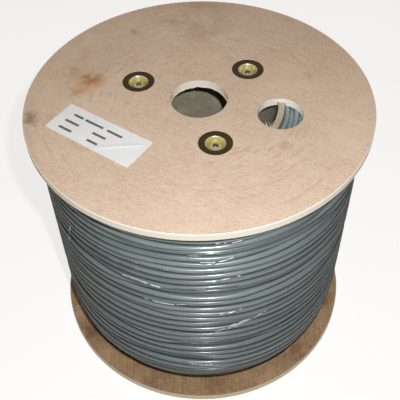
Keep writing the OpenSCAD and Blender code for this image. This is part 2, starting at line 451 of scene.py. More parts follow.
# %% Write the plywood finish
def plywood_finish(name, tones, board_low, face_z, fibre_deg, cloud_size, grain, marks):
    """Makes the finish of one plywood board. Marks are (x, y, radius, raggedness, strength, colour)."""
    finish, tree, shader, place = start_finish(name)
    turned = turned_place(tree, place["Object"], math.radians(fibre_deg))
    streaks = place_group(tree, streaks_group, turned, {"Length": 0.035, "Width": 0.0013})
    clouds = place_clouds(tree, place, cloud_size, 0.0014)
    blotches = place_clouds(tree, place, 0.016, 0.004)
    arcs = place_group(tree, arcs_group, place["Object"], {"Spacing": 0.004})

    face = blend_colours(tree, clouds["Cloud"], tones["shade"], tones["face"])
    layers = [
        (blotches["Cloud"], 0.35, "streak"),
        (blotches["Speck"], 0.25, "pale"),
        (streaks["Streak"], grain, "streak"),
        (streaks["Fleck"], 0.55, "fleck"),
        (clouds["Speck"], 0.5, "pale"),
        (arcs["Arc"], 0.30, "fleck"),
    ]
    for mask, share, tone in layers:
        face = tint(tree, face, mask, share, tones[tone])
    for x, y, radius, ragged, strength, colour in marks:
        sizes = {"Centre": (x, y, face_z), "Radius": radius, "Ragged": ragged}
        mark = place_group(tree, mark_group, place["Object"], sizes)["Mask"]
        face = tint(tree, face, mark, strength, colour)

    plies = place_group(tree, plies_group, place["Object"], {"Low": board_low, "Thickness": board_t})
    edge = blend_colours(tree, plies["Cross ply"], tones["edge"], tones["cross"])
    edge = tint(tree, edge, plies["Glue line"], 0.2, tones["glue"])
    edge = tint(tree, edge, clouds["Speck"], 0.1, tones["glue"])

    way = parts_of(tree, place["Normal"])["Z"]
    flat = ramp_between(tree, arithmetic(tree, "ABSOLUTE", way), 0.80, 0.95)
    rough = stretch_to(tree, streaks["Streak"], 0.58, 0.74)
    bumps = arithmetic(tree, "SUBTRACT", streaks["Streak"], times(tree, streaks["Fleck"], 0.8))
    fill_inputs(shader, {
        "Base Color": blend_colours(tree, flat, edge, face),
        "Roughness": rough,
        "Normal": relief(tree, bumps, 0.0002, 0.35),
        "Specular IOR Level": 0.3,
    })
    return finish


print("plywood finish ready")

# %% [markdown]
# The upper board has a brown stain beside the label, a dirty patch at its left rim, a few faint smudges
# and a wide patch of painted shade at its back, away from the lamp. The lower board is browner, and what
# shows of it is its upper face around the winding.

# %% List the marks and tones of the upper board
top_marks = [
    (-0.1125, 0.0330, 0.026, 1.0, 0.50, (206, 158, 112)),
    (-0.1175, 0.0190, 0.012, 1.0, 0.60, (212, 152, 104)),
    (-0.1250, 0.0455, 0.012, 1.2, 0.45, (178, 142, 104)),
    (-0.1215, 0.0115, 0.010, 1.2, 0.40, (184, 146, 108)),
    (-0.1040, 0.0300, 0.014, 1.0, 0.60, (202, 144, 98)),
    (-0.1080, 0.0345, 0.014, 1.1, 0.65, (166, 124, 66)),
    (-0.1605, -0.0240, 0.014, 1.4, 0.60, (116, 92, 74)),
    (-0.0660, 0.1130, 0.008, 1.5, 0.45, (140, 112, 90)),
    (0.0790, -0.0690, 0.010, 1.5, 0.35, (160, 126, 100)),
    (0.1120, 0.0330, 0.009, 1.5, 0.30, (160, 126, 100)),
    # The last mark is painted shade: a wide, faint darkening at the back of the board
    (0.0060, 0.1380, 0.050, 1.0, 0.30, (150, 124, 100)),
]
top_tones = {
    "face": (228, 205, 185),
    "shade": (216, 191, 169),
    "streak": (205, 174, 150),
    "fleck": (184, 150, 124),
    "pale": (242, 224, 208),
    "edge": (254, 251, 243),
    "cross": (252, 247, 236),
    "glue": (226, 210, 184),
}
print("marks on the upper board:", len(top_marks))

# %% List the marks and tones of the lower board
bottom_tones = {
    "face": (202, 168, 130),
    "shade": (166, 132, 97),
    "streak": (146, 113, 80),
    "fleck": (106, 79, 54),
    "pale": (212, 184, 150),
    "edge": (232, 222, 204),
    "cross": (222, 206, 182),
    "glue": (184, 160, 128),
}
bottom_marks = [
    (-0.1330, -0.0800, 0.019, 1.4, 0.75, (120, 92, 70)),
    (-0.1540, -0.0540, 0.016, 1.3, 0.60, (214, 184, 164)),
    (-0.1180, -0.1120, 0.016, 1.4, 0.55, (206, 172, 148)),
    (-0.0560, -0.1480, 0.020, 1.5, 0.60, (128, 98, 70)),
    (0.0120, -0.1560, 0.022, 1.5, 0.55, (132, 96, 66)),
    (0.0700, -0.1440, 0.016, 1.4, 0.55, (206, 176, 142)),
    (0.1120, -0.1160, 0.018, 1.4, 0.60, (134, 98, 68)),
    (0.1400, -0.0740, 0.015, 1.4, 0.50, (204, 174, 142)),
    (0.1510, -0.0440, 0.014, 1.5, 0.65, (136, 94, 64)),
    (0.0900, 0.1300, 0.020, 1.4, 0.55, (132, 98, 70)),
    (-0.1100, 0.1150, 0.022, 1.4, 0.50, (204, 174, 148)),
]
print("marks on the lower board:", len(bottom_marks))

# %% Finish both boards
finish_top = plywood_finish("plywood_top", top_tones, inner_high, drum_h, 30, 0.07, 0.34, top_marks)
finish_bottom = plywood_finish("plywood_bottom", bottom_tones, 0.0, inner_low, 90, 0.018, 0.8, bottom_marks)


def dress(node_name, finish):
    """Puts a finish on a CAD node in the place of its plain colour."""
    mesh = cad_nodes[node_name].data
    mesh.materials.clear()
    mesh.materials.append(finish)


dress("flange_top", finish_top)
dress("flange_bottom", finish_bottom)
print("made", finish_top.name, "and", finish_bottom.name)

# %% [markdown]
# ## Grey board
#
# The barrel is a tube wound from strips of grey board. Its walls are a dull grey olive with spiral seams
# where the strips meet, and they are browner further down. The sawn ends are a lighter beige. The seam is
# a saw-tooth of the angle and the height.

# %% Finish the barrel
STRIP_RISE = 0.11
DEEP_FROM = 0.232
DEEP_FULL = 0.200
finish_board, tree, shader, place = start_finish("grey_board")
parts = parts_of(tree, place["Object"])
around = arithmetic(tree, "ARCTAN2", parts["Y"], parts["X"])
turn_share = arithmetic(tree, "DIVIDE", around, WHOLE_TURN)
rise_share = arithmetic(tree, "DIVIDE", parts["Z"], STRIP_RISE)
seam_share = arithmetic(tree, "FRACT", arithmetic(tree, "ADD", turn_share, rise_share))
seam = ramp_between(tree, seam_share, 0.030, 0.012)
streaks = place_group(tree, streaks_group, place["Object"], {"Length": 0.012, "Width": 0.002})
clouds = place_clouds(tree, place, 0.03, 0.001)
wall = blend_colours(tree, clouds["Cloud"], (158, 154, 134), (184, 180, 158))
wall = tint(tree, wall, streaks["Fleck"], 0.5, (126, 120, 102))
dust = place_clouds(tree, place, 0.006, 0.0022)
dust_mask = times(tree, dust["Speck"], times(tree, dust["Cloud"], 0.45))
wall = blend_colours(tree, dust_mask, wall, (122, 108, 88))
deep = ramp_between(tree, parts["Z"], DEEP_FROM, DEEP_FULL)
wall = tint(tree, wall, deep, 0.5, (160, 142, 122))
wall = tint(tree, wall, seam, 0.6, (74, 72, 62))
end = blend_colours(tree, clouds["Cloud"], (190, 172, 158), (208, 194, 180))
end = tint(tree, end, clouds["Speck"], 0.5, (170, 148, 128))
way = parts_of(tree, place["Normal"])["Z"]
is_end = ramp_between(tree, arithmetic(tree, "ABSOLUTE", way), 0.6, 0.9)
board_height = arithmetic(tree, "SUBTRACT", clouds["Speck"], seam)
fill_inputs(shader, {
    "Base Color": blend_colours(tree, is_end, wall, end),
    "Roughness": stretch_to(tree, clouds["Speck"], 0.75, 0.9),
    "Normal": relief(tree, board_height, 0.0003, 0.4),
    "Specular IOR Level": 0.2,
})
dress("barrel", finish_board)
print("made", finish_board.name)

# %% [markdown]
# ## Cup washers, nuts and rods
#
# The washers are pressed from sheet steel with a yellow zinc coat. The brim is painted dark and purplish,
# as a painted reflection of a dark room, the bend below it carries a painted highlight, and the cup is a
# clear yellow. The nuts and the rods are plain
# zinc. Such a coat is half metal and half lacquer, so it shows its own colour as well as the lamp. The
# height says where brim, bend and cup are, and the rods get their thread as a relief.

# %% Finish the washers
# Depths below the face of a board where the painted dark brim and the painted highlight on the bend of a
# washer begin and are whole
DARK_BRIM_DEPTHS = (0.0007, 0.0003)
HIGHLIGHT_BAND_DEPTHS = (0.0021, 0.0015)

finish_zinc, tree, shader, place = start_finish("yellow_zinc")
clouds = place_clouds(tree, place, 0.006, 0.0007)
height = parts_of(tree, place["Object"])["Z"]
from_mid = distance_from(tree, height, drum_mid)
on_painted_dark_brim = ramp_between(tree, from_mid, drum_mid - DARK_BRIM_DEPTHS[0], drum_mid - DARK_BRIM_DEPTHS[1])
on_painted_highlight = ramp_between(tree, from_mid, drum_mid - HIGHLIGHT_BAND_DEPTHS[0], drum_mid - HIGHLIGHT_BAND_DEPTHS[1])
cup_tone = blend_colours(tree, clouds["Cloud"], (206, 200, 104), (222, 208, 140))
# The brim's dark bronze and purple is a painted reflection of a dark room
brim_painted_reflection_tone = blend_colours(tree, clouds["Cloud"], (88, 72, 36), (84, 58, 58))
# The cream white on the bend is a painted highlight, where the lamp would catch the curve
painted_highlight_tone = blend_colours(tree, clouds["Speck"], (238, 230, 200), (220, 206, 164))
zinc_tone = blend_colours(tree, on_painted_highlight, cup_tone, painted_highlight_tone)
zinc_tone = blend_colours(tree, on_painted_dark_brim, zinc_tone, brim_painted_reflection_tone)
fill_inputs(shader, {
    "Base Color": tint(tree, zinc_tone, clouds["Speck"], 0.3, (70, 60, 40)),
    "Metallic": 0.5,
    "Roughness": stretch_to(tree, clouds["Speck"], 0.34, 0.46),
    "Normal": relief(tree, clouds["Speck"], 0.0001, 0.08),
    "Coat Weight": 0.6,
    "Coat Roughness": 0.2,
})
print("made", finish_zinc.name)

# %% Finish the nuts
finish_nut, tree, shader, place = start_finish("nut_steel")
clouds = place_clouds(tree, place, 0.004, 0.0006)
nut_tone = blend_colours(tree, clouds["Cloud"], (212, 206, 158), (234, 230, 204))
fill_inputs(shader, {
    "Base Color": tint(tree, nut_tone, clouds["Speck"], 0.35, (150, 142, 108)),
    "Metallic": 0.4,
    "Roughness": stretch_to(tree, clouds["Cloud"], 0.28, 0.40),
    "Normal": relief(tree, clouds["Speck"], 0.0001, 0.08),
})
print("made", finish_nut.name)

# %% Finish the rods and dress the hardware
THREAD_PITCH = 0.001
finish_rod, tree, shader, place = start_finish("rod_steel")
height = parts_of(tree, place["Object"])["Z"]
thread = arithmetic(tree, "PINGPONG", height, THREAD_PITCH / 2)
thread = ramp_between(tree, thread, 0.0, THREAD_PITCH / 2)
clouds = place_clouds(tree, place, 0.005, 0.0008)
fill_inputs(shader, {
    "Base Color": blend_colours(tree, clouds["Cloud"], (160, 160, 160), (206, 206, 204)),
    "Metallic": 1.0,
    "Roughness": stretch_to(tree, clouds["Speck"], 0.28, 0.46),
    "Normal": relief(tree, thread, 0.0005, 0.6),
})

for number in (1, 2, 3):
    dress(f"tie_rod_{number}", finish_rod)
    for side in ("top", "bottom"):
        dress(f"cup_washer_{side}_{number}", finish_zinc)
        dress(f"nut_{side}_{number}", finish_nut)
print("made", finish_rod.name, "with a thread pitch of", THREAD_PITCH)

# %% [markdown]
# ## How the cable lies
#
# The cable is wound in layers, and the outer layer is loose: each turn lies beside the next with a gap,
# wanders a little up and down, and some turns have sunk between their neighbours. The winding also falls
# off towards the bottom, and a little towards the top. One function gives the centre of the cable after
# any angle of winding, so that the turns and the film over them can't disagree.

# %% Measure the lay of the cable
CABLE_R = 0.0027
TURNS = 30
SPREAD = 0.14
BOTTOM_DROP = 0.024
BOTTOM_POWER = 8
TOP_DROP = 0.003
TOP_POWER = 8
END_ROOM = 0.0002
SWAY_TOGETHER = 0.0026
SWAY_ALONE = 0.0018
FREE_AFTER = 1.5
SINK = 0.0022
SUNK_FROM = 0.10
SUNK_FULL = 0.42
UNDER_DROP = 2 * CABLE_R - END_ROOM
# Each noise has its scale around the drum, its own corner of the noise, and its change from turn to turn
TOGETHER_NOISE = (1.3, 7.0, 3.0, 0.09)
ALONE_NOISE = (1.9, 31.0, 17.0, 0.83)
SUNK_NOISE = (0.9, 53.0, 29.0, 0.61)
wound_low = inner_low + END_ROOM + CABLE_R
wound_high = inner_high - END_ROOM - CABLE_R
wound_mid = (inner_low + inner_high) / 2
wound_half = (inner_high - inner_low) / 2
turn_step = (wound_high - wound_low) / TURNS
print(f"{TURNS} turns, {turn_step * 1000:.2f} mm apart, next layer {UNDER_DROP * 1000:.2f} mm deeper")

# %% Describe the lay of both outer layers
def ease(value, start, end):
    """Runs smoothly from 0 at start to 1 at end."""
    share = min(max((value - start) / (end - start), 0.0), 1.0)
    return share * share * (3 - 2 * share)


def crest_radius(height):
    """Gives the radius over the turns at a height."""
    share = (height - wound_mid) / wound_half
    if share < 0:
        return winding_r - BOTTOM_DROP * (-share) ** BOTTOM_POWER
    return winding_r - TOP_DROP * share ** TOP_POWER


def turn_height(turn):
    """Gives the height after a number of turns, which lie further apart towards the bottom."""
    share = turn / TURNS
    return wound_high - (wound_high - wound_low) * (share - SPREAD * share * (1 - share))


def lay_noise(kind, way, turn):
    """Gives a noise that changes smoothly around the drum and from turn to turn."""
    scale, corner_x, corner_y, change = kind
    return noise.noise(way * scale + Vector((corner_x, corner_y, turn * change)))


def outer_lay(angle):
    """Gives the radius and the height of the cable's centre after winding through an angle."""
    turn = angle / WHOLE_TURN
    way = Vector((math.cos(angle), math.sin(angle), 0.0))
    free = ease(min(turn, TURNS - turn), 0.0, FREE_AFTER)
    together = lay_noise(TOGETHER_NOISE, way, turn)
    alone = lay_noise(ALONE_NOISE, way, turn)
    height = turn_height(turn) + free * (SWAY_TOGETHER * together + SWAY_ALONE * alone)
    sunk = ease(lay_noise(SUNK_NOISE, way, turn), SUNK_FROM, SUNK_FULL)
    return crest_radius(height) - CABLE_R - free * SINK * sunk, height


def under_lay(angle):
    """The layer below is wound the other way, so the outer one lies across its crests."""
    turn = angle / WHOLE_TURN
    height = wound_low + turn_step * (turn + 0.5)
    return crest_radius(height) - CABLE_R - UNDER_DROP, height


print("first turn at radius and height", [round(value, 4) for value in outer_lay(0.0)])

# %% [markdown]
# ## Turns of cable
#
# A helix could be a curve with a round bevel, but a mesh keeps its own lengthwise measure for the finish.
# A circle is spun once around the axis while it climbs by one turn's step, and that turn is copied
# upwards and merged at its ends. Then each ring of vertices is moved to where the lay function says that
# the cable is.

# %% Say where the length marks are
# Each run of marks goes from one direction to another, in degrees, on the turn nearest to a height
length_marks = [
    (-99.0, -77.0, 0.206),
    (-138.0, -117.0, 0.214),
    (-131.0, -112.0, 0.225),
    (-118.0, -99.0, 0.236),
    (-66.0, -48.0, 0.120),
    (28.0, 50.0, 0.152),
    (36.0, 58.0, 0.162),
    (96.0, 118.0, 0.230),
    (142.0, 163.0, 0.096),
    (150.0, 171.0, 0.106),
]


def mark_share(angle, height):
    """Gives 1 where the cable shows a run of length marks, and 0 elsewhere."""
    for start_deg, end_deg, mark_z in length_marks:
        turn = (math.degrees(angle) - start_deg) % 360.0
        if turn < end_deg - start_deg and abs(height - mark_z) < turn_step / 2:
            return 1.0
    return 0.0


print("runs of length marks:", len(length_marks))

# %% Write the mesh helpers
UPWARD = (0, 0, 1)
MERGE = 0.00001


def verts_in(parts):
    """Picks the vertices out of a list of mesh parts."""
    return [part for part in parts if isinstance(part, bmesh.types.BMVert)]


def add_section(bm, radius, height, sides):
    """Adds a round section of the cable, which stands at a distance from the axis."""
    stand = Matrix.Translation((radius, 0.0, height)) @ Matrix.Rotation(math.pi / 2, 4, "X")
    bmesh.ops.create_circle(bm, segments=sides, radius=CABLE_R, matrix=stand)


def spin_round(bm, steps, merge):
    """Spins every edge once around the axis and closes the seam."""
    bmesh.ops.spin(
        bm, geom=bm.edges[:], cent=ORIGIN, axis=UPWARD, angle=WHOLE_TURN, steps=steps, use_merge=True
    )
    bmesh.ops.remove_doubles(bm, verts=bm.verts[:], dist=merge)


def finish_mesh(bm, name, finish, smooth=True):
    """Turns a bmesh into an object at the origin with one finish."""
    bmesh.ops.recalc_face_normals(bm, faces=bm.faces[:])
    for face in bm.faces:
        face.smooth = smooth
    mesh = bpy.data.meshes.new(name)
    bm.to_mesh(mesh)
    bm.free()
    mesh.materials.append(finish)
    piece = bpy.data.objects.new(name, mesh)
    bpy.context.scene.collection.objects.link(piece)
    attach(piece, "root")
    return piece


print("mesh helpers ready")

# %% Write the helix helper
def wind_cable(name, finish, lay, turns, steps, sides):
    """Winds a round cable through a number of turns along a lay function."""
    bm = bmesh.new()
    add_section(bm, winding_r, 0.0, sides)
    climb = (0, 0, turn_step / steps)
    bmesh.ops.spin(bm, geom=bm.edges[:], cent=ORIGIN, axis=UPWARD, dvec=climb, angle=WHOLE_TURN, steps=steps)
    one_turn = bm.verts[:] + bm.edges[:] + bm.faces[:]
    for turn in range(1, turns):
        copy = bmesh.ops.duplicate(bm, geom=one_turn)["geom"]
        bmesh.ops.translate(bm, verts=verts_in(copy), vec=(0, 0, turn_step * turn))
    bmesh.ops.remove_doubles(bm, verts=bm.verts[:], dist=MERGE)
    open_ends = [edge for edge in bm.edges if edge.is_boundary]
    bmesh.ops.holes_fill(bm, edges=open_ends, sides=sides)

    along = bm.verts.layers.float.new("along")
    outward = bm.verts.layers.float.new("outward")
    marked = bm.verts.layers.float.new("marked")
    for vert in bm.verts:
        angle = math.atan2(vert.co.y, vert.co.x) % WHOLE_TURN
        whole = round(vert.co.z / turn_step - angle / WHOLE_TURN)
        angle += whole * WHOLE_TURN
        out = math.hypot(vert.co.x, vert.co.y) - winding_r
        rise = vert.co.z - turn_step * angle / WHOLE_TURN
        centre_r, centre_z = lay(angle)
        vert.co.x = (centre_r + out) * math.cos(angle)
        vert.co.y = (centre_r + out) * math.sin(angle)
        vert.co.z = centre_z + rise
        vert[along] = angle * winding_r
        vert[outward] = out / CABLE_R
        vert[marked] = mark_share(angle, centre_z)
    return finish_mesh(bm, name, finish)


print("helix helper ready")

# %% [markdown]
# ## Cable jacket
#
# The jacket is a smooth blue-grey vinyl. Its tone drifts slowly along its length and it is a little
# dusty. Here and there it carries a run of plain dark dashes as length marks. They show where the cable
# happens to have its marked side outwards. The finish reads the measures that the helix helper stored.
# The coat on it stands for the gloss of the film that clings to the crests.

# %% Finish the cable
finish_jacket, tree, shader, place = start_finish("cable_jacket")
along, outward, mark_run = [
    add_node(tree, "Attribute", attribute_name=name).outputs["Fac"] for name in ("along", "outward", "marked")
]
clouds = place_clouds(tree, place, 0.03, 0.0009)
drift_place = add_node(tree, "CombineXYZ", {"X": along, "Y": 0.0, "Z": 0.0}).outputs[0]
drift = noise_at(tree, drift_place, 2.2, 2.0)
jacket = blend_colours(tree, ramp_between(tree, drift, 0.35, 0.65), (113, 132, 138), (149, 165, 169))
jacket = tint(tree, jacket, clouds["Cloud"], 0.25, (152, 164, 166))
DASH_STEP = 0.0031
DASH_GAP = 0.34
dash_share = arithmetic(tree, "FRACT", arithmetic(tree, "DIVIDE", along, DASH_STEP))
dashes = arithmetic(tree, "GREATER_THAN", dash_share, DASH_GAP)
pause_noise = noise_at(tree, drift_place, 75.0, 0.0)
dashes = times(tree, dashes, ramp_between(tree, pause_noise, 0.40, 0.44))
on_crest = ramp_between(tree, outward, 0.84, 0.90)
mark_mask = times(tree, times(tree, mark_run, dashes), on_crest)
jacket = tint(tree, jacket, mark_mask, 0.95, (24, 27, 30))
fill_inputs(shader, {
    "Base Color": jacket,
    "Roughness": stretch_to(tree, clouds["Speck"], 0.28, 0.38),
    "Normal": relief(tree, clouds["Speck"], 0.0001, 0.05),
    "Specular IOR Level": 0.9,
    "Coat Weight": 0.9,
    "Coat Roughness": 0.16,
    "Coat IOR": 1.5,
})
print("made", finish_jacket.name)

# %% Wind the two outer layers
outer_turns = wind_cable("cable_outer_turns", finish_jacket, outer_lay, TURNS, steps=128, sides=12)
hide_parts("cable_winding")
under_turns = wind_cable("cable_under_turns", finish_jacket, under_lay, TURNS - 1, steps=96, sides=8)
print("faces of both layers:", len(outer_turns.data.polygons), len(under_turns.data.polygons))

# %% [markdown]
# ## Inner layers
#
# Below those two layers the cable fills the drum, but only the ends of the layers can be seen, through
# the start hole. Each layer ends in a ring against the flange, every second one half a cable deeper. All
# the ring sections and the outline of the solid core are laid out flat and spun together.

# %% Spin the inner layers
LAYER_STEP = 2 * CABLE_R * math.sqrt(3) / 2
LAYERS = 12
RING_SIDES = 10
RING_STEPS = 96
CORE_GAP = 0.0012
CORE_DEPTH = CABLE_R + UNDER_DROP + CORE_GAP
bore_r = barrel_r + END_ROOM
bm = bmesh.new()
for layer in range(LAYERS):
    for end in (-1, 1):
        level = wound_mid + end * (wound_half - END_ROOM - CABLE_R - (layer % 2) * CABLE_R)
        add_section(bm, bore_r + CABLE_R + layer * LAYER_STEP, level, RING_SIDES)
# Heights of the core's outline, as shares of half the room between the boards
core_heights = [-0.968, -0.93, -0.86, -0.76, -0.6, 0.6, 0.76, 0.86, 0.93, 0.968]
outline = [bm.verts.new((bore_r, 0.0, wound_mid + core_heights[0] * wound_half))]
for share in core_heights:
    height = wound_mid + share * wound_half
    outline.append(bm.verts.new((crest_radius(height) - CORE_DEPTH, 0.0, height)))
outline.append(bm.verts.new((bore_r, 0.0, wound_mid + core_heights[-1] * wound_half)))
for first, second in zip(outline, outline[1:] + outline[:1]):
    bm.edges.new((first, second))
spin_round(bm, RING_STEPS, MERGE)
inner_layers = finish_mesh(bm, "cable_inner_layers", finish_jacket)
print("layers:", LAYERS, "faces:", len(inner_layers.data.polygons))

# %% [markdown]
# ## Stretch film
#
# The winding is wrapped in clear stretch film. It rests on the crests, bridges the sunk turns and has a
# few drawn creases. A line is spun into a tube, and every vertex is then set a little outside the highest
# turn near it. The shader makes it a dark brown veil of painted shade and painted dark reflection, which
# thickens where it is seen at a slant, with white lines at the creases.

# %% List the creases of the film
FILM_GAP = 0.00025
FILM_DIP = 0.0005
FILM_ROWS = 168
FILM_STEPS = 240
FILM_MARGIN = 0.0022
FILM_T = 0.0001
CREASE_H = 0.0007
CREASE_SPREAD = 0.0016
CREASE_WAVE = 0.0015
CREASE_BENDS = 5.0
CREASE_FOLD = 0.0028
# Each crease runs from one point to another: degrees round the drum, then the height
film_creases = [
    ((-88.0, 0.129), (-66.0, 0.153)),
    ((-84.0, 0.136), (-70.0, 0.143)),
    ((-86.0, 0.162), (-76.0, 0.168)),
    ((-88.0, 0.216), (-77.0, 0.225)),
    ((-96.0, 0.258), (-83.0, 0.259)),
    ((-87.0, 0.272), (-77.0, 0.274)),
    ((-92.0, 0.247), (-79.0, 0.251)),
    ((-98.0, 0.110), (-86.0, 0.111)),
    ((-99.0, 0.068), (-86.0, 0.064)),
    ((-120.0, 0.208), (-103.0, 0.206)),
    ((-112.0, 0.178), (-95.0, 0.183)),
    ((-146.0, 0.196), (-140.0, 0.236)),
    ((20.0, 0.090), (58.0, 0.150)),
    ((95.0, 0.200), (132.0, 0.168)),
    ((140.0, 0.060), (172.0, 0.120)),
]
print("creases:", len(film_creases))

# %% Write where the film lies
def film_bed(angle):
    """Lists the turns under the film at one direction, as their crest and height."""
    bed = []
    for turn in range(TURNS):
        radius, height = outer_lay(angle + turn * WHOLE_TURN)
        bed.append((radius + CABLE_R, height))
    return bed


def crease_rise(angle, height):
    """Gives how far the film stands up in a crease at a place."""
    rise = 0.0
    for (start_deg, start_z), (end_deg, end_z) in film_creases:
        turn = (math.degrees(angle) - start_deg) % 360.0
        span = end_deg - start_deg
        if turn < span:
            share = turn / span
            wave = CREASE_WAVE * math.sin(share * CREASE_BENDS + start_deg)
            line_z = start_z + (end_z - start_z) * share + wave
            taper = math.sin(math.pi * share)
            rise = max(rise, taper * math.exp(-((height - line_z) / CREASE_SPREAD) ** 2))
    return rise


print("turns under the film:", len(film_bed(0.0)))

# %% [markdown]
# A drawn crease is a fine white line where the film has folded, a painted highlight that stands in for
# the glint of the fold. The mesh of the film is too coarse for that, so a node group follows the same
# path: it measures how far a point is from
# the line between two places on the drum. A second, fainter line beside it is the other edge of the fold,
# and noise leaves gaps in both.

# %% Build the crease group
crease_run = {"From": 0.0, "To": 1.0, "Start height": 0.0, "End height": 0.1, "Phase": 0.0}
crease_group, ends, leave = start_group("drawn_crease", crease_run, ["Line"])
tree = crease_group
crease_parts = parts_of(tree, ends["Vector"])
crease_angle = arithmetic(tree, "ARCTAN2", crease_parts["Y"], crease_parts["X"])
crease_span = arithmetic(tree, "SUBTRACT", ends["To"], ends["From"])
crease_turned = arithmetic(tree, "SUBTRACT", crease_angle, ends["From"])
crease_share = arithmetic(tree, "DIVIDE", crease_turned, crease_span)
crease_climb = arithmetic(tree, "SUBTRACT", ends["End height"], ends["Start height"])
crease_climb = times(tree, crease_climb, crease_share)
crease_line = arithmetic(tree, "ADD", ends["Start height"], crease_climb)
crease_phase = arithmetic(tree, "ADD", times(tree, crease_share, CREASE_BENDS), ends["Phase"])
crease_wave = times(tree, arithmetic(tree, "SINE", crease_phase), CREASE_WAVE)
crease_line = arithmetic(tree, "ADD", crease_line, crease_wave)
crease_off = arithmetic(tree, "SUBTRACT", crease_parts["Z"], crease_line)
first_edge = ramp_between(tree, arithmetic(tree, "ABSOLUTE", crease_off), 0.0013, 0.0003)
second_off = distance_from(tree, crease_off, -CREASE_FOLD)
second_edge = times(tree, ramp_between(tree, second_off, 0.0010, 0.0002), 0.7)
both_edges = join_masks(tree, [first_edge, second_edge])
crease_start = ramp_between(tree, crease_share, 0.0, 0.12)
crease_stop = ramp_between(tree, crease_share, 1.0, 0.88)
whole_run = times(tree, crease_start, crease_stop)
fill_inputs(leave, {"Line": times(tree, both_edges, whole_run)})
print("made", crease_group.name)

# %% Finish the film
finish_film, tree, shader, place = start_finish("clear_film")
clouds = place_clouds(tree, place, 0.035, 0.004)
# The veil is painted shade: a dark brown sheet that thickens at a slant and darkens the sides of the winding
slant = add_node(tree, "LayerWeight", {"Blend": 0.5}).outputs["Facing"]
slant_shade_range = {"Value": slant, "From Min": 0.35, "From Max": 1.0, "To Min": 0.02, "To Max": 0.45}
slant_shade_veil = add_node(tree, "MapRange", slant_shade_range).outputs[0]
crease_lines = []
for (start_deg, start_z), (end_deg, end_z) in film_creases:
    crease = place_group(tree, crease_group, place["Object"], {
        "From": math.radians(start_deg),
        "To": math.radians(end_deg),
        "Start height": start_z,
        "End height": end_z,
        "Phase": start_deg,
    })
    crease_lines.append(crease["Line"])
break_noise = noise_at(tree, place["Object"], 170.0, 1.0)
# The crease lines are a painted highlight in white, though their bump and some metal also catch the lamp
glint = times(tree, join_masks(tree, crease_lines), ramp_between(tree, break_noise, 0.32, 0.52))
fill_inputs(shader, {
    # Outside the creases the base colour is the dark brown of the painted shade veil
    "Base Color": blend_colours(tree, glint, (34, 26, 16), (236, 247, 255)),
    "Metallic": times(tree, glint, 0.5),
    "Roughness": stretch_to(tree, clouds["Speck"], 0.28, 0.42),
    "Alpha": join_masks(tree, [slant_shade_veil, times(tree, glint, 0.95)]),
    "Normal": relief(tree, glint, 0.0016, 0.9),
    "Specular IOR Level": 0.0,
})
print("made", finish_film.name)

# %% Wrap the film
bm = bmesh.new()
film_low = bm.verts.new((winding_r, 0.0, inner_low + FILM_MARGIN))
film_high = bm.verts.new((winding_r, 0.0, inner_high - FILM_MARGIN))
film_line = bm.edges.new((film_low, film_high))
bmesh.ops.subdivide_edges(bm, edges=[film_line], cuts=FILM_ROWS)
spin_round(bm, FILM_STEPS, MERGE)
half_step = turn_step / 2
beds = {}
for vert in bm.verts:
    step = round(math.atan2(vert.co.y, vert.co.x) / WHOLE_TURN * FILM_STEPS) % FILM_STEPS
    angle = step * WHOLE_TURN / FILM_STEPS
    if step not in beds:
        beds[step] = film_bed(angle)
    height = vert.co.z
    rests = [crest - FILM_DIP * ((height - turn_z) / half_step) ** 2 for crest, turn_z in beds[step]]
    rise = crease_rise(angle, height)
    radius = max(rests) + FILM_GAP + CREASE_H * rise
    vert.co.x = radius * math.cos(angle)
    vert.co.y = radius * math.sin(angle)
film = finish_mesh(bm, "film_wrap", finish_film)
skin = film.modifiers.new("film_skin", "SOLIDIFY")
skin.thickness = FILM_T
skin.offset = -1.0
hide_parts("stretch_film")
print("film faces:", len(film.data.polygons))

# %% [markdown]
# ## Paper label
#
# A sheet label is stuck on the upper board. It is one face with rounded corners, cut into a net of small
# faces so that it can lift: paper on rough wood has shallow bubbles, and this one has a crease and a
# lifted corner at its right end. It carries a few plain ruled bars and nothing else.

# %% Cut the label
LABEL_L = 0.099
LABEL_W = 0.038
LABEL_T = 0.00015
LABEL_CORNER_R = 0.002
LABEL_COLUMNS = 33
LABEL_ROWS = 14
LABEL_GAP = 0.00002
CUT_SLACK = 0.000001
label_turn = math.radians(-35.6)
label_mid = (Vector(label_low) + Vector(label_high)) / 2
label_place = Matrix.Translation((label_mid.x, label_mid.y, drum_h)) @ Matrix.Rotation(label_turn, 4, "Z")

bm = bmesh.new()
bmesh.ops.create_grid(bm, x_segments=1, y_segments=1, size=0.5)
bmesh.ops.scale(bm, vec=(LABEL_L, LABEL_W, 1.0), verts=bm.verts[:])
bmesh.ops.bevel(
    bm, geom=bm.verts[:], offset=LABEL_CORNER_R, affect="VERTICES", segments=4, profile=0.5, material=-1
)


def cut_label(bm, point, across):
    """Cuts the label along a straight line through a point."""
    everything = bm.verts[:] + bm.edges[:] + bm.faces[:]
    bmesh.ops.bisect_plane(bm, geom=everything, dist=CUT_SLACK, plane_co=point, plane_no=across)


for column in range(1, LABEL_COLUMNS):
    cut_label(bm, ((column / LABEL_COLUMNS - 0.5) * LABEL_L, 0, 0), (1, 0, 0))
for row in range(1, LABEL_ROWS):
    cut_label(bm, (0, (row / LABEL_ROWS - 0.5) * LABEL_W, 0), (0, 1, 0))
crease_from = Vector((0.008, -0.0165, 0.0))
crease_to = Vector((0.044, 0.0115, 0.0))
crease_way = (crease_to - crease_from).normalized()
crease_across = Vector((-crease_way.y, crease_way.x, 0.0))
cut_label(bm, crease_from, crease_across)
print("label faces:", len(bm.faces))

